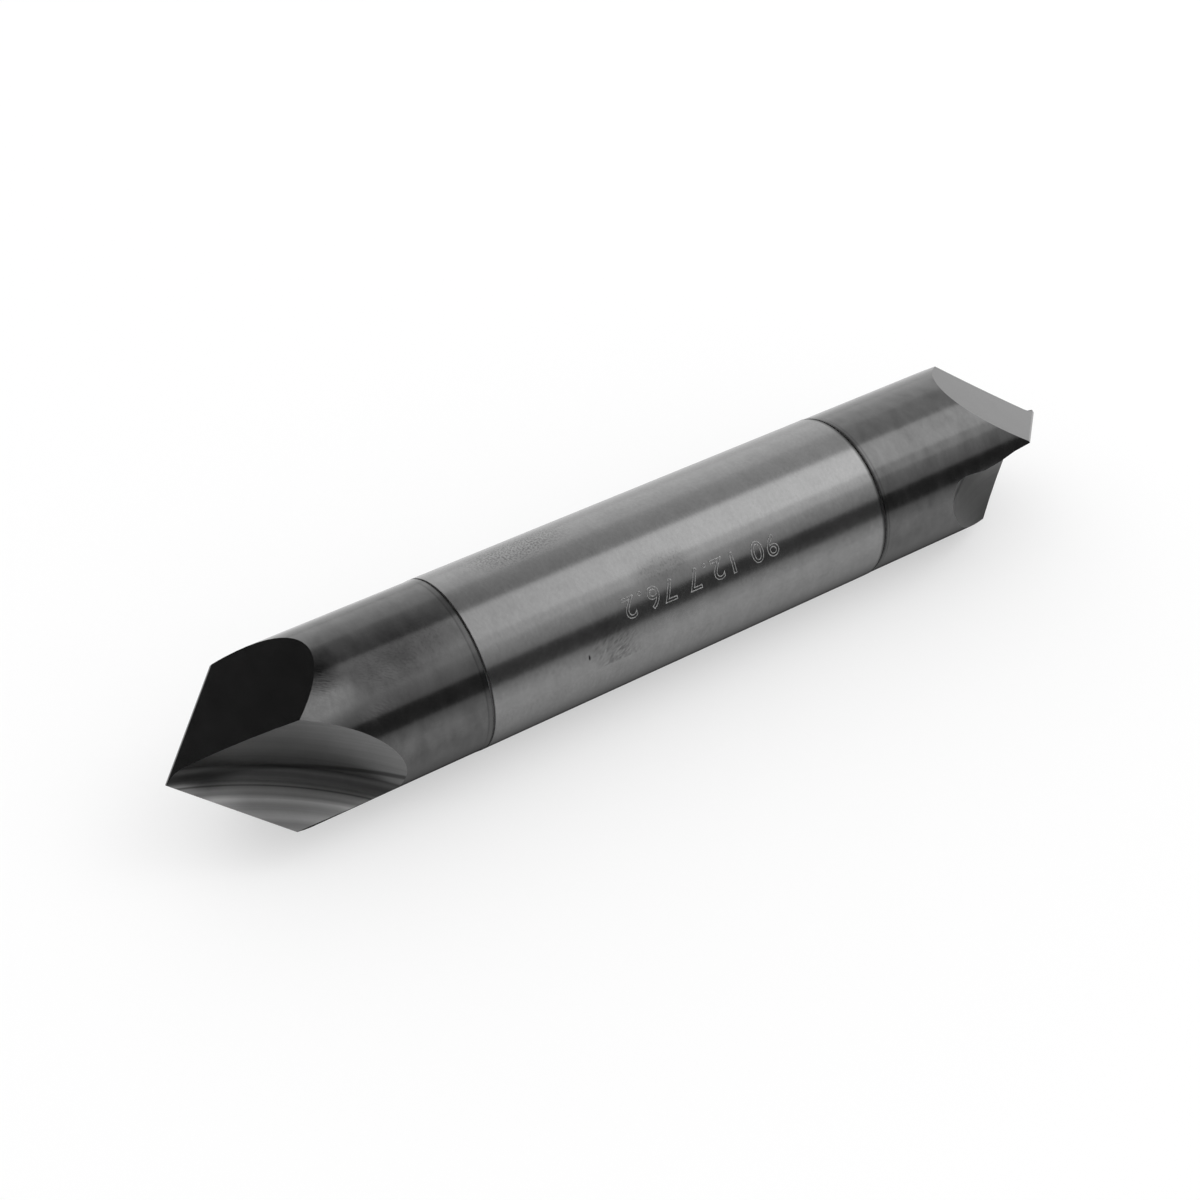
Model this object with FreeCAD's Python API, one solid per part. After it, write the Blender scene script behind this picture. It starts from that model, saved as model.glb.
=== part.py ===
"""Double-ended 90 degree chamfer mill with two flutes at each end.

One solid of carbide: a ground round shank with a spear point at each end. Every point is
cut from the rod by the operations that make the real one: for each tooth a narrow primary
relief, a steep secondary flank and a flute plunged by a square-rimmed grinding wheel.

Frame, in millimetres: X runs along the tool's axis, the origin is the middle of the shank,
and Z is up with the tool lying on its side. Both ends cut right-handed.
"""
import FreeCAD, Part
import math
import os

from FreeCAD import Placement, Rotation, Vector

# Overall sizes
shank_diameter = 12.7
overall_length = 76.2
point_angle = 90.0
teeth_per_end = 2

# How each end is turned about the axis, as the angle of its first cutting edge above +Y,
# seen from the middle of the tool with that end pointing away
near_end_clocking = 32.7
far_end_clocking = 25.4

# Each tooth: half the web left at the point, and the angles normal to the cutting edge
half_web = 0.12
rake_angle = 10.2
primary_relief = 20.0
primary_land = 0.2
secondary_relief = 45.5

# The wheel that grinds a flute, and where its centre stands beside the cutting edge
wheel_radius = 34.1
wheel_corner_radius = 0.8
wheel_along_edge = 17.4
wheel_outside_edge = 28.5

# Fine ring cut round the tool behind each point. The head in front of it is ground a little
# under the shank, on the radius, and runs out to the ring in a short taper
ring_from_tip = 21.0
ring_width = 0.15
ring_depth = 0.18
head_undersize = 0.03
head_taper = 0.4

shank_radius = shank_diameter / 2
head_radius = shank_radius - head_undersize
axis = Vector(1, 0, 0)
half_point = math.radians(point_angle / 2)

# The two primary reliefs meet in a short chisel edge, this far behind the point's apex
chisel_setback = half_web * math.tan(math.radians(primary_relief)) / math.sin(half_point)


class Tooth:
    """Directions and points of one tooth, with the point's apex at zero and X into the tool."""

    def __init__(self, clocking):
        turn = math.radians(clocking)
        radial = Vector(0, math.cos(turn), math.sin(turn))
        self.leading = Vector(0, math.sin(turn), -math.cos(turn))
        self.outward = radial * math.cos(half_point) - axis * math.sin(half_point)
        self.along = axis * math.cos(half_point) + radial * math.sin(half_point)
        self.edge_start = self.leading * half_web

    def relief_normal(self, relief):
        angle = math.radians(relief)
        return self.outward * math.cos(angle) - self.leading * math.sin(angle)

    def relief_direction(self, relief):
        angle = math.radians(relief)
        return -self.leading * math.cos(angle) - self.outward * math.sin(angle)


def block_beyond(point, normal):
    """Block that fills everything beyond the plane through point."""
    reach = 4 * shank_diameter
    block = Part.makeBox(reach, reach, reach, Vector(-reach / 2, -reach / 2, 0))
    block.Placement = Placement(point, Rotation(Vector(0, 0, 1), normal))
    return block


def primary_cut(tooth):
    return block_beyond(tooth.edge_start, tooth.relief_normal(primary_relief))


def secondary_cut(tooth):
    heel_of_land = tooth.edge_start + tooth.relief_direction(primary_relief) * primary_land
    return block_beyond(heel_of_land, tooth.relief_normal(secondary_relief))


def flute_cut(tooth):
    """Grinding wheel whose flat side makes the rake face and whose rim makes the gullet.

    It is as wide as the tool, so that one plunge clears the whole flute.
    """
    angle = math.radians(rake_angle)
    side_normal = tooth.leading * math.cos(angle) - tooth.outward * math.sin(angle)
    into_metal = -tooth.outward * math.cos(angle) - tooth.leading * math.sin(angle)
    centre = (
        tooth.edge_start
        + tooth.along * wheel_along_edge
        - into_metal * wheel_outside_edge
    )
    wheel = Part.makeCylinder(wheel_radius, shank_diameter, centre, side_normal)
    side_rim = [
        edge for edge in wheel.Edges
        if abs((edge.CenterOfMass - centre).dot(side_normal)) < wheel_corner_radius
        and isinstance(edge.Curve, Part.Circle)
    ]
    return wheel.makeFillet(wheel_corner_radius, side_rim)


def point_cuts(clocking):
    """Everything ground away at one end, with its chisel edge at zero and X into the tool."""
    cuts = []
    for number in range(teeth_per_end):
        tooth = Tooth(clocking + number * 360 / teeth_per_end)
        cuts += [primary_cut(tooth), secondary_cut(tooth), flute_cut(tooth)]
    for cut in cuts:
        cut.translate(-axis * chisel_setback)
    return cuts


def rod_along(start, length, radius):
    return Part.makeCylinder(radius, length, axis * start, axis)


def head_cut():
    """Takes the head under the shank's size, with the taper that runs out at the ring."""
    front_of_ring = ring_from_tip - ring_width / 2
    taper_start = front_of_ring - head_taper
    head = rod_along(0, taper_start, head_radius)
    taper = Part.makeCone(head_radius, shank_radius, head_taper, axis * taper_start, axis)
    return rod_along(0, front_of_ring, 2 * shank_radius).cut(head.fuse(taper))


def ring_cut():
    start = ring_from_tip - ring_width / 2
    groove_floor = rod_along(start, ring_width, shank_radius - ring_depth)
    return rod_along(start, ring_width, 2 * shank_radius).cut(groove_floor)


def end_cuts(clocking):
    return point_cuts(clocking) + [head_cut(), ring_cut()]


def chamfer_mill():
    tip = axis * (-overall_length / 2)
    rod = Part.makeCylinder(shank_radius, overall_length, tip, axis)
    near_end = Placement(tip, Rotation())
    far_end = Placement(-tip, Rotation(Vector(0, 0, 1), 180))
    cuts = []
    for place, clocking in ((near_end, near_end_clocking), (far_end, far_end_clocking)):
        for cut in end_cuts(clocking):
            cuts.append(cut.transformed(place.toMatrix()))
    mill = rod
    for cut in cuts:
        mill = mill.cut(cut)
    return mill


mill = chamfer_mill()
solid = mill.Solids[0]
os.makedirs("parts", exist_ok=True)
solid.exportStep("parts/chamfer_mill.step")

box = solid.optimalBoundingBox(False)
print("solids", len(mill.Solids), "valid", solid.isValid())
print("length %.3f, width %.3f, height %.3f mm" % (box.XLength, box.YLength, box.ZLength))
print("volume %.1f mm3, faces %d" % (solid.Volume, len(solid.Faces)))
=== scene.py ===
"""Dressed model of a double-ended chamfer mill lying on a pale studio floor.

The tool has the form of its solid, except that the margins of the two far flutes are turned
back round the head. Its round faces, flanks, flutes and turned rings get their own ground
finishes, with painted light and shade on the rake faces and painted shade in the flutes'
corners and beside the rings, and the shank carries a plain etched number.
"""
import math

import bmesh
import bpy
from bpy.props import FloatProperty, PointerProperty, StringProperty
from mathutils import Matrix, Vector


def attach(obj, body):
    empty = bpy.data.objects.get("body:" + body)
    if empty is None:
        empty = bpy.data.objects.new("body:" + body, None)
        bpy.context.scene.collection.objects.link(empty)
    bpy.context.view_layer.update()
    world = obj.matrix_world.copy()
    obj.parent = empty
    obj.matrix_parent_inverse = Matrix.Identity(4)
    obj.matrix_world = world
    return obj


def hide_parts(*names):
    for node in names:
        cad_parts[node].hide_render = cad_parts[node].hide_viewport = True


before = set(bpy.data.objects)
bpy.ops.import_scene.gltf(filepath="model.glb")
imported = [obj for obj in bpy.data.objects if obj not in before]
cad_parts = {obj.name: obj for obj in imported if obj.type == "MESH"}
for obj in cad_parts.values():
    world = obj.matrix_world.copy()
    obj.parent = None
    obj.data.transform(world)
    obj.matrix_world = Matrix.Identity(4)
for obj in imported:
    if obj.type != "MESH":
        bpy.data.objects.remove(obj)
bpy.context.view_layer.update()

bl_info = {
    "name": "Chamfer Mill",
    "version": (1, 0, 0),
    "blender": (4, 5, 0),
    "location": "View3D > Sidebar > Chamfer Mill",
    "description": "Dresses a double-ended chamfer mill and its studio",
    "category": "Add Mesh",
}

MM = 0.001

# The tool's own sizes, as its solid has them
SHANK_RADIUS = 6.35 * MM
HALF_LENGTH = 38.1 * MM
RING_FROM_MIDDLE = 17.1 * MM
RING_HALF_WIDTH = 0.075 * MM
RING_DEPTH = 0.18 * MM
HALF_WEB = 0.12 * MM
HALF_POINT = math.radians(45.0)
PRIMARY_RELIEF = math.radians(20.0)
SECONDARY_RELIEF = math.radians(45.5)
RAKE = math.radians(10.2)
WHEEL_RADIUS = 34.1 * MM
WHEEL_CORNER = 0.8 * MM
WHEEL_ALONG_EDGE = 17.4 * MM
WHEEL_OUTSIDE_EDGE = 28.5 * MM
CHISEL_SETBACK = HALF_WEB * math.tan(PRIMARY_RELIEF) / math.sin(HALF_POINT)
NEAR_END_CLOCKING = math.radians(32.7)
FAR_END_CLOCKING = math.radians(25.4)

# The far flutes reach less far round the head than those of the solid. Their margins are turned
# back by this angle. It grows with the distance from the point, and round the head it grows and
# fades between these angles from the tooth
MARGIN_TURN = math.radians(11.0)
MARGIN_FROM_POINT = (6.0 * MM, 11.5 * MM)
MARGIN_GROWS = (math.radians(-38.0), math.radians(-8.0))
MARGIN_FADES = (math.radians(40.0), math.radians(80.0))

# For telling the solid's faces apart: distances, least cosines between two normals, the slope up
# to which a round face counts as straight, and the lean up to which a ring's floor does
MERGE_DISTANCE = 0.0005 * MM
RING_REACH = RING_HALF_WIDTH * 1.1
SKIN_DEPTH = 0.05 * MM
ROUND_MATCH = 0.95
RELIEF_MATCH = 0.9995
WHEEL_MATCH = 0.9
WHEEL_TOUCH = 0.0001 * MM
STRAIGHT_SLOPE = 1e-4
FLOOR_LEAN = 0.1

# Arcs on a rake face, as distance from the wheel's centre in mm and brightness: partly the
# wheel's marks and partly painted light and shade of the face's reflection
RAKE_ARCS_AND_PAINTED_LIGHT = (
    (29.5, 0.74), (30.3, 0.69), (30.65, 1.15), (31.0, 1.3), (31.25, 1.22), (31.45, 1.3),
    (31.7, 1.65), (32.0, 2.6), (32.15, 2.2), (32.35, 1.6), (32.6, 2.3), (32.88, 2.0),
    (33.0, 0.75), (33.12, 1.9), (33.2, 1.5), (33.35, 0.85), (33.6, 1.5), (34.1, 1.5),
)

# The ramp of the arcs holds greys up to 1, which stand for brightnesses up to this
ARC_SCALE = 3.0

# Where the arcs fade off the wheel's side, and the stretch along the edge where they brighten
# from the painted shade that darkens them by the point
RAKE_FACE_END = (0.02 * MM, 0.3 * MM)
PAINTED_POINT_SHADE_LIFTS = (-15.5 * MM, -12.5 * MM)
PAINTED_SHADE_BY_POINT = 0.5

# Corner of the flute, by its distance inside the wheel's rim and off the wheel's side; it is
# rougher there and darkened by painted shade
CORNER_INSIDE_RIM = (0.9 * MM, 0.5 * MM)
CORNER_OFF_SIDE = (0.6 * MM, 1.1 * MM)
PAINTED_CORNER_SHADE = 0.38

# Dark line of a second pass: its distance off the wheel's side, its slope along the edge, the
# distances from its middle between which it fades, and its shades at the two ends of the stretch
# along the edge where it darkens
SECOND_PASS_OFF_SIDE = 2.33 * MM
SECOND_PASS_SLOPE = 0.144
SECOND_PASS_WIDTH = (0.1 * MM, 0.4 * MM)
SECOND_PASS_DARKENS = (-12.0 * MM, -4.0 * MM)
SECOND_PASS_SHADES = (0.65, 0.35)

# Painted shade in bands beside the turned rings, widening the dark lines of their grooves, for
# the near and then for the far ring
PAINTED_RING_SHADE_REACH = (0.15 * MM, 0.34 * MM)
PAINTED_RING_SHADES = (0.45, 0.25)

# Painted shade of the head's short taper and of the line where it starts, in place of the change
# of reflection at the taper's slope: the distance of each from the ring, the distances from there
# between which it fades, and how dark it is
TAPER_MIDDLE = 0.24 * MM
TAPER_REACH = (0.18 * MM, 0.26 * MM)
PAINTED_TAPER_SHADE = 0.9
TAPER_START = 0.42 * MM
TAPER_LINE_WIDTH = (0.02 * MM, 0.09 * MM)
PAINTED_TAPER_LINE_SHADE = 0.75

# Share of the head taper's slope that its shading shows, since it is polished over
TAPER_SHOWN = 0.15

# Marks that handling has left: place, angle, half length and half width in mm and degrees,
# slant and grain of the streaks, share of specks, and darkness, which is negative where bright
SHANK_SCUFFS = (
    (-10.3, 74.0, 5.4, 2.7, 0.0, 0.8, 1.0, 0.5),
    (-7.3, 167.0, 2.6, 2.6, 1.3, 0.4, 1.0, 0.42),
    (-6.6, 181.0, 2.2, 1.8, 1.3, 0.7, 1.0, 0.4),
    (-2.0, 133.0, 3.2, 1.3, 0.0, 0.6, 0.45, 0.38),
    (-9.3, 169.0, 0.1, 0.28, 0.0, 1.0, 0.0, 1.0),
)
HEAD_SCUFFS = (
    (-28.4, 127.0, 3.4, 2.3, -0.8, 0.3, 0.15, -0.85),
    (-27.8, 113.5, 2.0, 1.5, -1.5, 0.25, 0.45, 0.85),
    (-27.8, 104.0, 2.2, 1.8, -1.0, 0.6, 0.35, 0.45),
    (-23.4, 122.0, 3.2, 2.2, -1.2, 0.8, 0.7, 0.3),
    (-25.2, 146.0, 2.0, 1.0, -0.8, 0.3, 0.8, -0.35),
    (-20.8, 114.0, 3.4, 2.8, -0.3, 0.5, 0.4, 0.38),
)

# Etching: height of a digit in a text of size 1, space between digits, share of the line's
# height that stands off the shank, distance at which its corners are merged, and the longest
# edges after each round of splitting
DIGIT_HEIGHT = 0.7
DIGIT_SPACING = 1.2
LINE_RELIEF = 0.3
LINE_MERGE_DISTANCE = 0.001 * MM
LONGEST_EDGES = (0.8 * MM, 0.4 * MM, 0.2 * MM)

# Soft lamps: name, place, size, radiance and the place that they shine at
SOFT_BOXES = (
    ("top_box", (0.82, -0.2, 0.857), (0.86, 0.64), 0.8, (0.82, 0.0, 0.0)),
    ("fill_box", (0.82, -0.3, 0.827), (0.86, 0.88), 0.5, (0.82, 0.0, 0.0)),
    ("back_box", (0.65, 1.1, 0.55), (1.6, 0.9), 0.3, (0.65, 0.0, 0.0)),
)

# Cards that only reflections see: name, lowest and highest corner, the axis along which their
# grey changes, and its stops as (place, grey)
CARDS = (
    (
        "front_card", (0.2, -1.0, -0.006), (2.2, -1.0, 1.0), "Z",
        ((0.0, 0.1), (0.34, 0.1), (0.36, 0.6), (1.0, 1.0)),
    ),
    (
        "camera_card", (-2.2, -1.01, -0.006), (0.2, -1.01, 1.0), "X",
        ((-2.2, 0.11), (0.2, 0.11)),
    ),
    (
        "front_ground", (-2.2, -1.0, -0.0063), (2.2, -0.02, -0.0063), "Y",
        ((-1.0, 0.1), (-0.095, 0.1), (-0.08, 0.4), (-0.033, 0.72), (-0.02, 0.9)),
    ),
    (
        "left_card", (-2.2, -1.0, 1.0), (0.36, 2.2, 1.0), "X",
        ((-2.2, 0.06), (0.2, 0.06), (0.36, 1.0)),
    ),
    (
        "top_card", (-2.2, 0.13, 0.99), (0.8, 2.2, 0.99), "X",
        ((-2.2, 0.06), (0.3, 0.06), (0.5, 0.85), (0.8, 1.0)),
    ),
    # Painted shadow: a dark sheet on the floor under the tool, which reflections show in place of
    # the tool's contact shadow
    (
        "painted_contact_shadow", (-0.045, -0.012, -0.0063), (0.045, 0.016, -0.0063), "Y",
        (
            (-0.012, 0.9), (-0.0083, 0.7), (-0.0071, 0.58), (-0.0053, 0.28), (-0.0036, 0.03),
            (0.0036, 0.03), (0.008, 0.1), (0.012, 0.5), (0.016, 0.95),
        ),
    ),
)
FLOOR_GLOW = 0.5
FLOOR_SEGMENTS = 96
CAMERA_PLACE = (-72.43 * MM, -98.43 * MM, 95.23 * MM)
CAMERA_TURN = (math.radians(51.47), 0.0, math.radians(-34.76))
SENSOR_WIDTH = 36.0

WHEEL_PLACE = "wheel_place"
SURFACES = ("shank", "head", "flank", "flute", "groove")


def share_property(name, description, default):
    return FloatProperty(
        name=name, description=description, default=default, min=0.0, max=1.0, subtype="FACTOR",
    )


class FinishSettings(bpy.types.PropertyGroup):
    """Greys and roughness of the ground carbide."""

    shank_grey: share_property(
        "Shank Grey", "Reflectance of the ground shank between the rings", 0.22,
    )
    head_grey: share_property("Head Grey", "Reflectance of the finer ground heads", 0.11)
    flank_grey: share_property("Flank Grey", "Reflectance of the relief faces", 0.088)
    flute_grey: share_property("Flute Grey", "Reflectance of the flutes", 0.23)
    groove_grey: share_property("Groove Grey", "Reflectance of the turned rings", 0.35)
    shank_roughness: share_property(
        "Shank Roughness", "Roughness of the shank between the rings", 0.24,
    )
    head_roughness: share_property("Head Roughness", "Roughness of the heads", 0.2)


class NumberSettings(bpy.types.PropertyGroup):
    """The plain number etched on the shank."""

    digits: StringProperty(
        name="Digits",
        description="Plain number etched on the shank",
        default="90 12.7 76.2",
    )
    height: FloatProperty(
        name="Height",
        description="Height of the digits",
        default=1.55 * MM,
        unit="LENGTH",
    )
    line: FloatProperty(
        name="Line",
        description="Width of the etched line",
        default=0.07 * MM,
        precision=5,
        unit="LENGTH",
    )
    middle: FloatProperty(
        name="Middle",
        description="Place of the middle of the digits along the shank",
        default=0.8 * MM,
        unit="LENGTH",
    )
    angle: FloatProperty(
        name="Angle",
        description="Angle of the digits round the shank, from the side away from the camera",
        default=math.radians(148.0),
        subtype="ANGLE",
    )


class StudioSettings(bpy.types.PropertyGroup):
    """Floor, lamps and camera."""

    floor_grey: share_property("Floor Grey", "Colour of the pale floor", 0.45)
    floor_radius: FloatProperty(
        name="Floor Radius",
        description="Reach of the floor from the tool",
        default=2.5,
        unit="LENGTH",
    )
    focal_length: FloatProperty(
        name="Focal Length",
        description="Focal length of the camera",
        default=64.36,
        unit="CAMERA",
    )


class Tooth:
    """Directions of one tooth in its end's frame, with the point at zero and X into the tool."""

    def __init__(self, clocking):
        self.clocking = clocking
        along_axis = Vector((1, 0, 0))
        radial = Vector((0, math.cos(clocking), math.sin(clocking)))
        self.leading = Vector((0, math.sin(clocking), -math.cos(clocking)))
        self.outward = radial * math.cos(HALF_POINT) - along_axis * math.sin(HALF_POINT)
        self.along = along_axis * math.cos(HALF_POINT) + radial * math.sin(HALF_POINT)
        self.wheel_axis = self.leading * math.cos(RAKE) - self.outward * math.sin(RAKE)
        self.into_metal = -self.outward * math.cos(RAKE) - self.leading * math.sin(RAKE)
        self.wheel_centre = (
            self.leading * HALF_WEB
            + self.along * WHEEL_ALONG_EDGE
            - self.into_metal * WHEEL_OUTSIDE_EDGE
            - along_axis * CHISEL_SETBACK
        )

    def relief_normal(self, relief):
        return self.outward * math.cos(relief) - self.leading * math.sin(relief)

    def wheel_place(self, point):
        """Point seen from the wheel's centre: along the edge, into the metal and off its side."""
        offset = point - self.wheel_centre
        return Vector((
            offset.dot(self.along),
            offset.dot(self.into_metal),
            offset.dot(self.wheel_axis),
        ))

    def wheel_normal(self, point):
        """Normal of the metal that the wheel's side, rounded corner or rim has ground."""
        place = self.wheel_place(point)
        spoke = Vector((place.x, place.y, 0.0))
        inward = spoke.length
        spoke.normalize()
        radial = self.along * spoke.x + self.into_metal * spoke.y
        across = max(0.0, WHEEL_CORNER - place.z)
        outer = max(0.0, inward - (WHEEL_RADIUS - WHEEL_CORNER))
        if across < WHEEL_TOUCH:
            return -radial
        if outer < WHEEL_TOUCH:
            return self.wheel_axis.copy()
        return (self.wheel_axis * across - radial * outer).normalized()


class End:
    """One end of the tool, with its place in the row frame and its two teeth."""

    def __init__(self, side, clocking):
        tip = Matrix.Translation((side * HALF_LENGTH, 0, 0))
        turn = Matrix.Rotation(math.pi if side > 0 else 0.0, 4, "Z")
        self.to_row = tip @ turn
        self.to_end = self.to_row.inverted()
        self.teeth = [Tooth(clocking), Tooth(clocking + math.pi)]


ENDS = (End(-1, NEAR_END_CLOCKING), End(1, FAR_END_CLOCKING))


def smooth_step(value, low, high):
    share = min(1.0, max(0.0, (value - low) / (high - low)))
    return share * share * (3 - 2 * share)


def margin_turn(tooth, place):
    """Angle by which a place on a far flute is turned back, in the frame of its end."""
    angle = math.remainder(math.atan2(place.z, place.y) - tooth.clocking, 2 * math.pi)
    round_head = smooth_step(angle, *MARGIN_GROWS) * (1 - smooth_step(angle, *MARGIN_FADES))
    return MARGIN_TURN * round_head * smooth_step(place.x, *MARGIN_FROM_POINT)


def end_of(point):
    return ENDS[1] if point.x > 0 else ENDS[0]


def radius_of(point):
    return math.hypot(point.y, point.z)


def surface_of(face):
    """Names the finish of a face, and the tooth it belongs to."""
    middle = face.calc_center_median()
    lowest = min(radius_of(vertex.co) for vertex in face.verts)
    beside_ring = abs(abs(middle.x) - RING_FROM_MIDDLE) <= RING_REACH
    if beside_ring and lowest < SHANK_RADIUS - RING_DEPTH / 2:
        return "groove", None
    radial = Vector((0, middle.y, middle.z)).normalized()
    if lowest > SHANK_RADIUS - SKIN_DEPTH and face.normal.dot(radial) > ROUND_MATCH:
        return ("shank" if abs(middle.x) < RING_FROM_MIDDLE else "head"), None
    end = end_of(middle)
    normal = end.to_end.to_3x3() @ face.normal
    place = end.to_end @ middle
    for tooth in end.teeth:
        for relief in (PRIMARY_RELIEF, SECONDARY_RELIEF):
            if normal.dot(tooth.relief_normal(relief)) > RELIEF_MATCH:
                return "flank", tooth
    nearest = min(end.teeth, key=lambda tooth: (tooth.wheel_normal(place) - normal).length)
    return "flute", nearest


def turn_margins(faces):
    """Turns the margins of the far flutes back and returns the turn of each of their corners."""
    far_end = ENDS[1]
    turns = {}
    flank_corners = {
        vertex
        for face, (surface, _) in faces.items() if surface == "flank"
        for vertex in face.verts
    }
    for face, (surface, tooth) in faces.items():
        if surface != "flute" or face.calc_center_median().x < 0:
            continue
        for vertex in face.verts:
            if vertex not in turns and vertex not in flank_corners:
                turns[vertex] = margin_turn(tooth, far_end.to_end @ vertex.co)
    for vertex, turn in turns.items():
        place = far_end.to_end @ vertex.co
        vertex.co = far_end.to_row @ (Matrix.Rotation(-turn, 3, "X") @ place)
    return turns


def skin_normal(surface, tooth, face, point, turn):
    """True normal of the tool's surface at a corner of a face, turned back with its margin."""
    radial = Vector((0, point.y, point.z)).normalized()
    if surface in ("shank", "head"):
        slope = face.normal.x * TAPER_SHOWN
        if abs(slope) < STRAIGHT_SLOPE:
            return radial
        return (radial * math.sqrt(1 - slope * slope) + Vector((slope, 0, 0))).normalized()
    if surface == "flute":
        end = end_of(point)
        ground = Matrix.Rotation(turn, 3, "X") @ (end.to_end @ point)
        normal = Matrix.Rotation(-turn, 3, "X") @ tooth.wheel_normal(ground)
        normal = end.to_row.to_3x3() @ normal
        if normal.dot(face.normal) > WHEEL_MATCH:
            return normal
    if surface == "groove" and abs(face.normal.x) < FLOOR_LEAN:
        return radial
    return face.normal.copy()


def new_object(name, data):
    piece = bpy.data.objects.new(name, data)
    bpy.context.scene.collection.objects.link(piece)
    return piece


# Node helpers

def node_tree(material):
    material.use_nodes = True
    tree = material.node_tree
    tree.nodes.clear()
    return tree


def add_node(tree, kind, place, **values):
    node = tree.nodes.new(kind)
    node.location = place
    for name, value in values.items():
        setattr(node, name, value)
    return node


def set_inputs(node, **values):
    for name, value in values.items():
        node.inputs[name.replace("_", " ")].default_value = value


def feed(tree, socket, value):
    """Sets a socket to a number, or links another node's output to it."""
    if isinstance(value, (int, float)):
        socket.default_value = value
    else:
        tree.links.new(value, socket)


def math_node(tree, operation, place, *values):
    node = add_node(tree, "ShaderNodeMath", place, operation=operation)
    for socket, value in zip(node.inputs, values):
        feed(tree, socket, value)
    return node.outputs[0]


def product_of(tree, place, values):
    product = values[0]
    for step, value in enumerate(values[1:]):
        product = math_node(tree, "MULTIPLY", (place[0] + 150 * step, place[1]), product, value)
    return product


def scaled_and_added(tree, place, value, factor, addend):
    scaled = math_node(tree, "MULTIPLY", place, value, factor)
    return math_node(tree, "ADD", (place[0] + 150, place[1]), scaled, addend)


def distance_between(tree, place, first, second):
    offset = math_node(tree, "SUBTRACT", place, first, second)
    return math_node(tree, "ABSOLUTE", (place[0] + 150, place[1]), offset)


def map_range(tree, place, value, low, high, to_low, to_high):
    """Goes smoothly from to_low to to_high as the value goes from low to high."""
    node = add_node(tree, "ShaderNodeMapRange", place, interpolation_type="SMOOTHSTEP")
    for name, number in (
        ("Value", value),
        ("From Min", low), ("From Max", high), ("To Min", to_low), ("To Max", to_high),
    ):
        feed(tree, node.inputs[name], number)
    return node.outputs["Result"]


def split(tree, place, vector):
    parts = add_node(tree, "ShaderNodeSeparateXYZ", place)
    tree.links.new(vector, parts.inputs[0])
    return parts.outputs


def combine(tree, place, *values):
    whole = add_node(tree, "ShaderNodeCombineXYZ", place)
    for socket, value in zip(whole.inputs, values):
        tree.links.new(value, socket)
    return whole.outputs[0]


def length_of(tree, place, vector):
    length = add_node(tree, "ShaderNodeVectorMath", place, operation="LENGTH")
    tree.links.new(vector, length.inputs[0])
    return length.outputs["Value"]


def grey_ramp(tree, place, value, stops):
    """Colour that follows (place, grey) stops as the value goes along them."""
    first = stops[0][0]
    reach = stops[-1][0] - first
    along = math_node(tree, "SUBTRACT", (place[0] - 400, place[1]), value, first)
    along = math_node(tree, "DIVIDE", (place[0] - 200, place[1]), along, reach)
    ramp = add_node(tree, "ShaderNodeValToRGB", place)
    elements = ramp.color_ramp.elements
    while len(elements) < len(stops):
        elements.new(1.0)
    for element, (stop, grey) in zip(elements, stops):
        element.position = (stop - first) / reach
        element.color = (grey, grey, grey, 1)
    tree.links.new(along, ramp.inputs[0])
    return ramp.outputs[0]


def as_grey(tree, place, value):
    colour = add_node(tree, "ShaderNodeCombineColor", place)
    for socket in colour.inputs[:3]:
        tree.links.new(value, socket)
    return colour.outputs[0]


def object_coordinates(tree):
    return add_node(tree, "ShaderNodeTexCoord", (-700, -200)).outputs["Object"]


def stretched_noise(tree, place, vector, scale, detail, roughness=0.6):
    """Noise on a vector that is first scaled by its own amount on each axis."""
    mapping = add_node(tree, "ShaderNodeMapping", (place[0] - 200, place[1]))
    mapping.inputs["Scale"].default_value = scale
    tree.links.new(vector, mapping.inputs["Vector"])
    noise = add_node(tree, "ShaderNodeTexNoise", place)
    set_inputs(noise, Scale=1.0, Detail=detail, Roughness=roughness)
    tree.links.new(mapping.outputs["Vector"], noise.inputs["Vector"])
    return noise.outputs["Fac"]


def lines_and_shade(tree, place, fine, broad, depth):
    """Lines made of two noises, and the shade round 1 that they give."""
    both = math_node(tree, "ADD", place, fine, broad)
    lines = math_node(tree, "MULTIPLY", (place[0] + 150, place[1]), both, 0.5)
    centred = math_node(tree, "SUBTRACT", (place[0] + 300, place[1]), lines, 0.5)
    return lines, scaled_and_added(tree, (place[0] + 450, place[1]), centred, depth, 1.0)


def new_group(name, inputs, outputs):
    """Shader node group with inputs (name, socket type, default) and float outputs."""
    group = bpy.data.node_groups.new(name, "ShaderNodeTree")
    for label, kind, default in inputs:
        socket = group.interface.new_socket(label, in_out="INPUT", socket_type=kind)
        if default is not None:
            socket.default_value = default
    for label in outputs:
        group.interface.new_socket(label, in_out="OUTPUT", socket_type="NodeSocketFloat")
    entry = add_node(group, "NodeGroupInput", (-1300, 0))
    leave = add_node(group, "NodeGroupOutput", (1200, 0))
    return group, entry.outputs, leave.inputs


def use_group(tree, group, place, links=(), **values):
    node = add_node(tree, "ShaderNodeGroup", place, node_tree=group)
    set_inputs(node, **values)
    for name, source in links:
        tree.links.new(source, node.inputs[name])
    return node.outputs


# Node groups

def round_grinding_group():
    """Fine lines that a grinding wheel leaves round a turning shank."""
    group, given, result = new_group(
        "Round Grinding",
        (
            ("Vector", "NodeSocketVector", None),
            ("Depth", "NodeSocketFloat", 0.5),
        ),
        ("Lines", "Shade"),
    )
    vector = given["Vector"]
    fine = stretched_noise(group, (-500, 200), vector, (26000, 300, 300), 3.0)
    broad = stretched_noise(group, (-500, -100), vector, (5000, 120, 120), 4.0)
    lines, shade = lines_and_shade(group, (-250, 100), fine, broad, given["Depth"])
    group.links.new(lines, result["Lines"])
    group.links.new(shade, result["Shade"])
    return group


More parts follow.
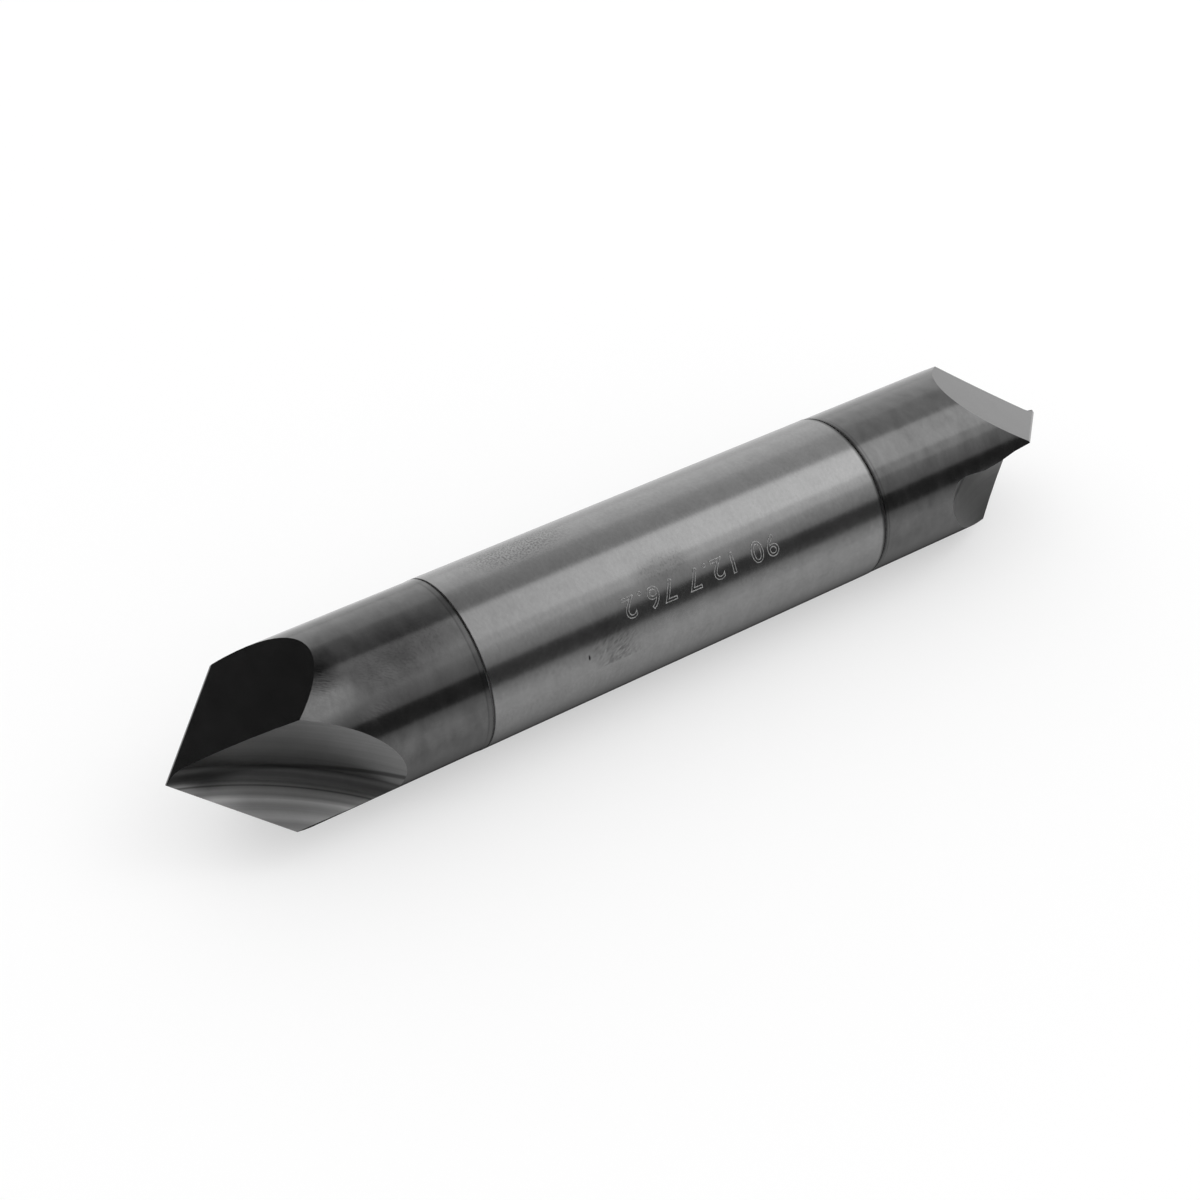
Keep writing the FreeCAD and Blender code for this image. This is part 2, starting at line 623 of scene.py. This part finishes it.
def mottle_group():
    """Soft blotches and specks that handling and coolant leave on bare carbide."""
    group, given, result = new_group(
        "Mottling",
        (
            ("Vector", "NodeSocketVector", None),
            ("Blotches", "NodeSocketFloat", 0.2),
            ("Specks", "NodeSocketFloat", 0.2),
        ),
        ("Shade", "Rough"),
    )
    vector = given["Vector"]
    blotch = stretched_noise(group, (-500, 250), vector, (900, 500, 500), 4.0, 0.55)
    speck = stretched_noise(group, (-500, -100), vector, (4500, 3000, 3000), 2.0, 0.5)
    blotch_off = math_node(group, "SUBTRACT", (-300, 250), blotch, 0.5)
    speck_off = math_node(group, "SUBTRACT", (-300, -100), speck, 0.5)
    blotch_deep = math_node(group, "MULTIPLY", (-100, 250), blotch_off, given["Blotches"])
    speck_deep = math_node(group, "MULTIPLY", (-100, -100), speck_off, given["Specks"])
    both = math_node(group, "ADD", (100, 100), blotch_deep, speck_deep)
    shade = math_node(group, "ADD", (300, 100), both, 1.0)
    group.links.new(shade, result["Shade"])
    group.links.new(both, result["Rough"])
    return group


def rake_face_arcs_and_painted_light(group, radius, along, aside):
    """Bright and dark arcs on the flat face that the wheel's side has ground: the wheel's marks,
    and painted light and shade of the face's reflection.
    """
    # Painted light and shade of the rake face's reflection, in bands round the wheel's centre
    stops = [(place * MM, brightness / ARC_SCALE) for place, brightness in RAKE_ARCS_AND_PAINTED_LIGHT]
    ramp = grey_ramp(group, (-300, -800), radius, stops)
    # Painted shade that darkens the arcs by the point
    painted_point_shade = map_range(
        group, (-300, -1050), along, *PAINTED_POINT_SHADE_LIFTS, PAINTED_SHADE_BY_POINT, 1.0,
    )
    arcs_and_painted_light = product_of(group, (0, -800), (ramp, ARC_SCALE, painted_point_shade))
    rake = add_node(group, "ShaderNodeMix", (350, -700), data_type="FLOAT")
    on_side = map_range(group, (0, -600), aside, *RAKE_FACE_END, 1, 0)
    group.links.new(on_side, rake.inputs[0])
    rake.inputs[2].default_value = 1.0
    group.links.new(arcs_and_painted_light, rake.inputs[3])
    return rake.outputs[0]


def second_pass_shade(group, along, aside):
    """Dark line that the wheel's second pass leaves beside the rake face."""
    line = scaled_and_added(
        group, (-400, -1300), along, SECOND_PASS_SLOPE, SECOND_PASS_OFF_SIDE,
    )
    off_line = distance_between(group, (-100, -1300), aside, line)
    deepest = map_range(
        group, (-100, -1500), along, *SECOND_PASS_DARKENS, *SECOND_PASS_SHADES,
    )
    return map_range(group, (200, -1300), off_line, *SECOND_PASS_WIDTH, deepest, 1.0)


def corner_mask(group, radius, aside):
    """1 in the corner between the wheel's rim and its side, and 0 away from it."""
    outer, inner = (WHEEL_RADIUS - inside for inside in CORNER_INSIDE_RIM)
    near_rim = map_range(group, (-300, -200), radius, outer, inner, 0, 1)
    near_side = map_range(group, (-300, -400), aside, *CORNER_OFF_SIDE, 1, 0)
    return math_node(group, "MULTIPLY", (-100, -300), near_rim, near_side)


def wheel_arcs_and_painted_light_group():
    """Arcs that the flute wheel leaves on the rake face, with painted light and shade over them,
    painted shade in its corner, and its second pass.
    """
    group, given, result = new_group(
        "Wheel Arcs and Painted Light",
        (
            ("Wheel Place", "NodeSocketVector", None),
            ("Depth", "NodeSocketFloat", 0.5),
        ),
        ("Shade", "Corner"),
    )
    along, inward, aside = split(group, (-1100, 0), given["Wheel Place"])
    radius = length_of(group, (-750, 0), combine(group, (-900, 0), along, inward))
    arc = combine(group, (-600, 200), radius, along, aside)
    fine = stretched_noise(group, (-300, 300), arc, (7000, 60, 5000), 3.0)
    broad = stretched_noise(group, (-300, 100), arc, (1800, 40, 1400), 2.0)
    _, lines = lines_and_shade(group, (-100, 200), fine, broad, given["Depth"])
    corner = corner_mask(group, radius, aside)
    shade = product_of(group, (650, 100), (
        lines,
        rake_face_arcs_and_painted_light(group, radius, along, aside),
        second_pass_shade(group, along, aside),
        # Painted shade in the corner between the wheel's rim and its side
        map_range(group, (200, -300), corner, 0.0, 1.0, 1.0, PAINTED_CORNER_SHADE),
    ))
    group.links.new(shade, result["Shade"])
    group.links.new(corner, result["Corner"])
    return group


def ring_shade_group():
    """Painted shade in bands beside the turned rings, softer and wider at the far one, and along
    the head's taper.
    """
    group, given, result = new_group(
        "Painted Ring Shade", (("Vector", "NodeSocketVector", None),), ("Shade",),
    )
    along = split(group, (-800, 0), given["Vector"])["X"]
    far = map_range(group, (-600, -200), along, -MM, MM, 0.0, 1.0)
    reach = map_range(group, (-400, -300), far, 0.0, 1.0, *PAINTED_RING_SHADE_REACH)
    darkest_painted_shade = map_range(group, (-400, -500), far, 0.0, 1.0, *PAINTED_RING_SHADES)
    distance = math_node(group, "ABSOLUTE", (-600, 0), along)
    off_ring = distance_between(group, (-450, 0), distance, RING_FROM_MIDDLE)
    off_start = distance_between(group, (-450, 200), distance, RING_FROM_MIDDLE + TAPER_START)
    off_taper = distance_between(group, (-450, 400), distance, RING_FROM_MIDDLE + TAPER_MIDDLE)
    # Painted shade beside the ring and along the taper
    shade = product_of(group, (100, 100), (
        map_range(group, (-150, 0), off_ring, RING_HALF_WIDTH, reach, darkest_painted_shade, 1.0),
        map_range(group, (-150, 200), off_start, *TAPER_LINE_WIDTH, PAINTED_TAPER_LINE_SHADE, 1.0),
        map_range(group, (-150, 400), off_taper, *TAPER_REACH, PAINTED_TAPER_SHADE, 1.0),
    ))
    group.links.new(shade, result["Shade"])
    return group


def scuff_group():
    """Patch of specks or scratches round one place on a round face."""
    group, given, result = new_group(
        "Scuff",
        (
            ("Vector", "NodeSocketVector", None),
            ("Place", "NodeSocketFloat", 0.0),
            ("Angle", "NodeSocketFloat", 0.0),
            ("Half Length", "NodeSocketFloat", 0.002),
            ("Half Width", "NodeSocketFloat", 0.001),
            ("Slant", "NodeSocketFloat", 0.0),
            ("Grain", "NodeSocketFloat", 1.0),
            ("Specks", "NodeSocketFloat", 1.0),
            ("Dark", "NodeSocketFloat", 0.3),
        ),
        ("Shade",),
    )
    along, across, up = split(group, (-1100, 0), given["Vector"])
    turn = math_node(group, "ARCTAN2", (-950, -100), up, across)
    turn = math_node(group, "SUBTRACT", (-800, -100), turn, given["Angle"])
    width = math_node(group, "MULTIPLY", (-650, -100), turn, SHANK_RADIUS)
    length = math_node(group, "SUBTRACT", (-800, 100), along, given["Place"])
    near_length = math_node(group, "DIVIDE", (-350, 100), length, given["Half Length"])
    near_width = math_node(group, "DIVIDE", (-350, -100), width, given["Half Width"])
    away = combine(group, (-200, 0), near_length, near_width)
    away = length_of(group, (-50, 0), away)
    patch = map_range(group, (100, 0), away, 0.3, 1.0, 1.0, 0.0)
    lean = math_node(group, "MULTIPLY", (-650, -300), width, given["Slant"])
    straight = math_node(group, "ADD", (-500, -300), length, lean)
    drawn_out = math_node(group, "MULTIPLY", (-350, -400), width, given["Grain"])
    streaks = combine(group, (-200, -300), straight, drawn_out)
    noise = stretched_noise(group, (150, -300), streaks, (7000, 7000, 1), 2.0)
    specks = map_range(group, (300, -300), noise, 0.45, 0.62, 0.0, 1.0)
    even = math_node(group, "SUBTRACT", (300, -500), 1.0, given["Specks"])
    specks = math_node(group, "MAXIMUM", (450, -400), specks, even)
    amount = product_of(group, (600, 0), (patch, specks, given["Dark"]))
    shade = math_node(group, "SUBTRACT", (900, 0), 1.0, amount)
    group.links.new(shade, result["Shade"])
    return group


def finish_groups():
    return {
        "round": round_grinding_group(),
        "mottle": mottle_group(),
        "arcs_and_painted_light": wheel_arcs_and_painted_light_group(),
        "scuff": scuff_group(),
        "ring": ring_shade_group(),
    }


# Materials

def metal_shader(tree):
    shader = add_node(tree, "ShaderNodeBsdfPrincipled", (900, 0))
    output = add_node(tree, "ShaderNodeOutputMaterial", (1200, 0))
    tree.links.new(shader.outputs[0], output.inputs["Surface"])
    set_inputs(shader, Metallic=1.0)
    return shader


class Carbide:
    """Material of bare carbide with its shader, coordinates and mottling."""

    def __init__(self, name, groups, blotches, specks):
        self.material = bpy.data.materials.new(name)
        self.tree = node_tree(self.material)
        self.shader = metal_shader(self.tree)
        self.coordinates = object_coordinates(self.tree)
        self.mottle = use_group(
            self.tree, groups["mottle"], (-400, -100), (("Vector", self.coordinates),),
            Blotches=blotches, Specks=specks,
        )

    def set_grey(self, shades, grey):
        """Colours the metal a grey that the shades multiply."""
        value = product_of(self.tree, (0, 200), (*shades, grey))
        colour = as_grey(self.tree, (700, 200), value)
        self.tree.links.new(colour, self.shader.inputs["Base Color"])

    def set_roughness(self, pattern, swing, base):
        """Makes the metal as rough as base, plus the pattern times swing."""
        rough = scaled_and_added(self.tree, (0, -100), pattern, swing, base)
        self.tree.links.new(rough, self.shader.inputs["Roughness"])

    def brush_round_axis(self, lines, strength):
        """Stretches reflections across the grinding lines, which stand out as a fine bump."""
        tangent = add_node(
            self.tree, "ShaderNodeTangent", (650, -500), direction_type="RADIAL", axis="X",
        )
        self.tree.links.new(tangent.outputs[0], self.shader.inputs["Tangent"])
        set_inputs(self.shader, Anisotropic=0.7, Anisotropic_Rotation=0.25)
        bump = add_node(self.tree, "ShaderNodeBump", (300, -400))
        set_inputs(bump, Strength=strength, Distance=0.004 * MM)
        self.tree.links.new(lines, bump.inputs["Height"])
        self.tree.links.new(bump.outputs[0], self.shader.inputs["Normal"])


def round_metal(name, groups, grey, roughness, blotches, specks, bump, scuffs):
    """Ground round face: grinding lines round the axis with soft mottling over them."""
    metal = Carbide(name, groups, blotches, specks)
    links = (("Vector", metal.coordinates),)
    lines = use_group(metal.tree, groups["round"], (-400, 200), links, Depth=0.16)
    ring = use_group(metal.tree, groups["ring"], (-400, 450), links)
    shades = [lines["Shade"], metal.mottle["Shade"], ring["Shade"]]
    for number, scuff in enumerate(scuffs):
        place, angle, half_length, half_width, slant, grain, specks, dark = scuff
        patch = use_group(
            metal.tree, groups["scuff"], (-400, -400 - 250 * number), links,
            Place=place * MM, Angle=math.radians(angle), Half_Length=half_length * MM,
            Half_Width=half_width * MM, Slant=slant, Grain=grain, Specks=specks, Dark=dark,
        )
        shades.append(patch["Shade"])
    metal.set_grey(shades, grey)
    metal.set_roughness(metal.mottle["Rough"], swing=0.2, base=roughness)
    metal.brush_round_axis(lines["Lines"], bump)
    return metal.material


def flank_metal(groups, grey):
    metal = Carbide("ground_flank", groups, blotches=0.25, specks=0.1)
    metal.set_grey((metal.mottle["Shade"],), grey)
    metal.set_roughness(metal.mottle["Rough"], swing=0.3, base=0.22)
    return metal.material


def flute_metal(groups, grey):
    metal = Carbide("ground_flute", groups, blotches=0.15, specks=0.05)
    place = add_node(
        metal.tree, "ShaderNodeAttribute", (-700, 200), attribute_name=WHEEL_PLACE,
    )
    arcs_and_painted_light = use_group(
        metal.tree, groups["arcs_and_painted_light"], (-400, 200), (("Wheel Place", place.outputs["Vector"]),),
        Depth=0.6,
    )
    metal.set_grey((arcs_and_painted_light["Shade"], metal.mottle["Shade"]), grey)
    metal.set_roughness(arcs_and_painted_light["Corner"], swing=0.15, base=0.38)
    return metal.material


def groove_metal(groups, grey):
    metal = Carbide("turned_groove", groups, blotches=0.4, specks=0.3)
    metal.set_grey((metal.mottle["Shade"],), grey)
    set_inputs(metal.shader, Roughness=0.5)
    return metal.material


def etched_metal():
    material = bpy.data.materials.new("etched_line")
    tree = node_tree(material)
    shader = metal_shader(tree)
    vector = object_coordinates(tree)
    noise = stretched_noise(tree, (-300, 100), vector, (6000, 6000, 6000), 2.0)
    value = map_range(tree, (0, 100), noise, 0.3, 0.7, 0.35, 0.6)
    tree.links.new(as_grey(tree, (300, 100), value), shader.inputs["Base Color"])
    set_inputs(shader, Roughness=0.6)
    return material


class MILL_OT_dress_tool(bpy.types.Operator):
    """Makes the tool's visible surface from its solid and gives each face its ground finish"""

    bl_idname = "mill.dress_tool"
    bl_label = "Dress Tool"

    def execute(self, context):
        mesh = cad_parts["chamfer_mill"].data.copy()
        mesh.name = "carbide_tool"
        mesh.materials.clear()
        shape = bmesh.new()
        shape.from_mesh(mesh)
        bmesh.ops.remove_doubles(shape, verts=shape.verts, dist=MERGE_DISTANCE)
        wheel_layer = shape.loops.layers.float_vector.new(WHEEL_PLACE)
        faces = {face: surface_of(face) for face in shape.faces}
        for face, (surface, tooth) in faces.items():
            face.material_index = SURFACES.index(surface)
            face.smooth = True
            if surface == "flute":
                for loop in face.loops:
                    point = loop.vert.co
                    loop[wheel_layer] = tooth.wheel_place(end_of(point).to_end @ point)
        turns = turn_margins(faces)
        shape.normal_update()
        normals = []
        for face, (surface, tooth) in faces.items():
            for loop in face.loops:
                turn = turns.get(loop.vert, 0.0)
                normals.append(skin_normal(surface, tooth, face, loop.vert.co, turn))
        shape.to_mesh(mesh)
        shape.free()
        mesh.normals_split_custom_set(normals)
        groups = finish_groups()
        look = context.scene.mill_finish
        for material in (
            round_metal(
                "ground_shank", groups, look.shank_grey, look.shank_roughness,
                blotches=0.35, specks=0.3, bump=0.12, scuffs=SHANK_SCUFFS,
            ),
            round_metal(
                "ground_head", groups, look.head_grey, look.head_roughness,
                blotches=0.9, specks=0.2, bump=0.08, scuffs=HEAD_SCUFFS,
            ),
            flank_metal(groups, look.flank_grey),
            flute_metal(groups, look.flute_grey),
            groove_metal(groups, look.groove_grey),
        ):
            mesh.materials.append(material)
        piece = new_object("carbide_tool", mesh)
        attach(piece, "root")
        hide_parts("chamfer_mill")
        return {"FINISHED"}


class MILL_OT_etch_numbers(bpy.types.Operator):
    """Etches a plain number on the shank in thin outlines"""

    bl_idname = "mill.etch_numbers"
    bl_label = "Etch Numbers"

    def execute(self, context):
        settings = context.scene.mill_numbers
        text = bpy.data.curves.new("digits", "FONT")
        text.body = settings.digits
        text.align_x = "CENTER"
        text.align_y = "CENTER"
        text.size = settings.height / DIGIT_HEIGHT
        text.space_character = DIGIT_SPACING
        text.fill_mode = "NONE"
        text.bevel_depth = settings.line / 2
        text.bevel_resolution = 1
        text.resolution_u = 6
        holder = new_object("digits", text)
        context.view_layer.update()
        evaluated = holder.evaluated_get(context.evaluated_depsgraph_get())
        mesh = bpy.data.meshes.new_from_object(evaluated)
        bpy.data.objects.remove(holder)
        bpy.data.curves.remove(text)
        mesh.name = "etched_numbers"
        shape = bmesh.new()
        shape.from_mesh(mesh)
        bmesh.ops.remove_doubles(shape, verts=shape.verts, dist=LINE_MERGE_DISTANCE)
        for longest in LONGEST_EDGES:
            long_edges = [edge for edge in shape.edges if edge.calc_length() > longest]
            bmesh.ops.subdivide_edges(shape, edges=long_edges, cuts=1)
        for vertex in shape.verts:
            flat = vertex.co.copy()
            angle = settings.angle + flat.y / SHANK_RADIUS
            radius = SHANK_RADIUS + flat.z * LINE_RELIEF
            vertex.co = Vector((
                settings.middle - flat.x,
                radius * math.cos(angle),
                radius * math.sin(angle),
            ))
        bmesh.ops.recalc_face_normals(shape, faces=shape.faces)
        for face in shape.faces:
            face.smooth = True
        shape.to_mesh(mesh)
        shape.free()
        mesh.materials.clear()
        mesh.materials.append(etched_metal())
        piece = new_object("etched_numbers", mesh)
        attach(piece, "root")
        return {"FINISHED"}


def seen_directly(tree, place):
    """1 for camera, glossy and transmission rays, and 0 for the light that they don't show."""
    rays = add_node(tree, "ShaderNodeLightPath", place)
    seen = math_node(
        tree, "MAXIMUM", (place[0] + 200, place[1]),
        rays.outputs["Is Camera Ray"], rays.outputs["Is Glossy Ray"],
    )
    return math_node(
        tree, "MAXIMUM", (place[0] + 400, place[1]), seen, rays.outputs["Is Transmission Ray"],
    )


def floor_material(grey):
    material = bpy.data.materials.new("pale_floor")
    tree = node_tree(material)
    shader = add_node(tree, "ShaderNodeBsdfPrincipled", (300, 200))
    set_inputs(shader, Base_Color=(grey, grey, grey, 1), Roughness=0.9)
    shader.inputs["Specular IOR Level"].default_value = 0.0
    light = add_node(tree, "ShaderNodeEmission", (300, -200))
    seen = seen_directly(tree, (-500, -200))
    strength = math_node(tree, "MULTIPLY", (100, -200), seen, FLOOR_GLOW)
    tree.links.new(strength, light.inputs["Strength"])
    both = add_node(tree, "ShaderNodeAddShader", (600, 0))
    output = add_node(tree, "ShaderNodeOutputMaterial", (800, 0))
    tree.links.new(shader.outputs[0], both.inputs[0])
    tree.links.new(light.outputs[0], both.inputs[1])
    tree.links.new(both.outputs[0], output.inputs["Surface"])
    return material


def card_material(name, axis, stops):
    """Glow that changes along one axis, from (place, grey) stops."""
    material = bpy.data.materials.new(name)
    tree = node_tree(material)
    place = split(tree, (-600, 0), object_coordinates(tree))[axis]
    light = add_node(tree, "ShaderNodeEmission", (300, 0))
    tree.links.new(grey_ramp(tree, (0, 0), place, stops), light.inputs["Color"])
    output = add_node(tree, "ShaderNodeOutputMaterial", (600, 0))
    tree.links.new(light.outputs[0], output.inputs["Surface"])
    return material


def soft_box(name, location, size, radiance, target):
    """Rectangular lamp that looks as bright as radiance from the place that it shines at."""
    lamp = bpy.data.lights.new(name, "AREA")
    lamp.shape = "RECTANGLE"
    lamp.size, lamp.size_y = size
    lamp.energy = radiance * math.pi * size[0] * size[1]
    direction = Vector(target) - Vector(location)
    turn = direction.to_track_quat("-Z", "Y").to_matrix().to_4x4()
    holder = new_object(name, lamp)
    holder.matrix_world = Matrix.Translation(location) @ turn


def studio_card(name, lowest, highest, axis, stops):
    """Studio card that only reflections see, flat in one of the three directions."""
    reach = Vector(highest) - Vector(lowest)
    middle = (Vector(highest) + Vector(lowest)) / 2
    stands = reach.y < reach.z
    turn = Matrix.Rotation(math.radians(90), 4, "X") if stands else Matrix()
    mesh = bpy.data.meshes.new(name)
    shape = bmesh.new()
    bmesh.ops.create_grid(shape, x_segments=1, y_segments=1, size=0.5)
    bmesh.ops.transform(shape, matrix=turn, verts=shape.verts)
    bmesh.ops.scale(shape, vec=reach, verts=shape.verts)
    bmesh.ops.translate(shape, vec=middle, verts=shape.verts)
    shape.to_mesh(mesh)
    shape.free()
    mesh.materials.append(card_material(name, axis, stops))
    card = new_object(name, mesh)
    card.visible_camera = False
    card.visible_diffuse = False
    card.visible_shadow = False


def light_world():
    """Plain white air all round, at the level at which a colour looks as it is written."""
    world = bpy.data.worlds.new("studio_air")
    bpy.context.scene.world = world
    world.use_nodes = True
    tree = world.node_tree
    tree.nodes.clear()
    background = add_node(tree, "ShaderNodeBackground", (0, 0))
    background.inputs["Color"].default_value = (1, 1, 1, 1)
    background.inputs["Strength"].default_value = 1.0
    output = add_node(tree, "ShaderNodeOutputWorld", (200, 0))
    tree.links.new(background.outputs[0], output.inputs["Surface"])


class MILL_OT_set_studio(bpy.types.Operator):
    """Lays the pale floor, hangs the soft lamps and cards, and places the camera"""

    bl_idname = "mill.set_studio"
    bl_label = "Set Studio"

    def execute(self, context):
        settings = context.scene.mill_studio
        mesh = bpy.data.meshes.new("floor")
        shape = bmesh.new()
        bmesh.ops.create_circle(
            shape, cap_ends=True, segments=FLOOR_SEGMENTS, radius=settings.floor_radius,
        )
        bmesh.ops.translate(shape, vec=(0, 0, -SHANK_RADIUS), verts=shape.verts)
        shape.to_mesh(mesh)
        shape.free()
        mesh.materials.append(floor_material(settings.floor_grey))
        new_object("floor", mesh)
        light_world()
        for lamp in SOFT_BOXES:
            soft_box(*lamp)
        for card in CARDS:
            studio_card(*card)
        camera = bpy.data.cameras.new("camera")
        camera.lens = settings.focal_length
        camera.sensor_width = SENSOR_WIDTH
        camera.clip_start = 0.005
        holder = new_object("camera", camera)
        holder.location = CAMERA_PLACE
        holder.rotation_euler = CAMERA_TURN
        context.scene.camera = holder
        context.scene.view_settings.view_transform = "Standard"
        return {"FINISHED"}


class MILL_PT_sidebar(bpy.types.Panel):
    """Lists the steps that make the tool and its studio"""

    bl_label = "Chamfer Mill"
    bl_idname = "MILL_PT_sidebar"
    bl_space_type = "VIEW_3D"
    bl_region_type = "UI"
    bl_category = "Chamfer Mill"

    def draw(self, context):
        scene = context.scene
        for settings, operator in (
            (scene.mill_finish, MILL_OT_dress_tool),
            (scene.mill_numbers, MILL_OT_etch_numbers),
            (scene.mill_studio, MILL_OT_set_studio),
        ):
            box = self.layout.box()
            for name in settings.__annotations__:
                box.prop(settings, name)
            box.operator(operator.bl_idname)


CLASSES = (
    FinishSettings,
    NumberSettings,
    StudioSettings,
    MILL_OT_dress_tool,
    MILL_OT_etch_numbers,
    MILL_OT_set_studio,
    MILL_PT_sidebar,
)


def register():
    for each in CLASSES:
        bpy.utils.register_class(each)
    bpy.types.Scene.mill_finish = PointerProperty(type=FinishSettings)
    bpy.types.Scene.mill_numbers = PointerProperty(type=NumberSettings)
    bpy.types.Scene.mill_studio = PointerProperty(type=StudioSettings)


def unregister():
    del bpy.types.Scene.mill_studio
    del bpy.types.Scene.mill_numbers
    del bpy.types.Scene.mill_finish
    for each in reversed(CLASSES):
        bpy.utils.unregister_class(each)


def main():
    register()
    bpy.ops.mill.dress_tool()
    bpy.ops.mill.etch_numbers()
    bpy.ops.mill.set_studio()


if __name__ == "__main__":
    main()
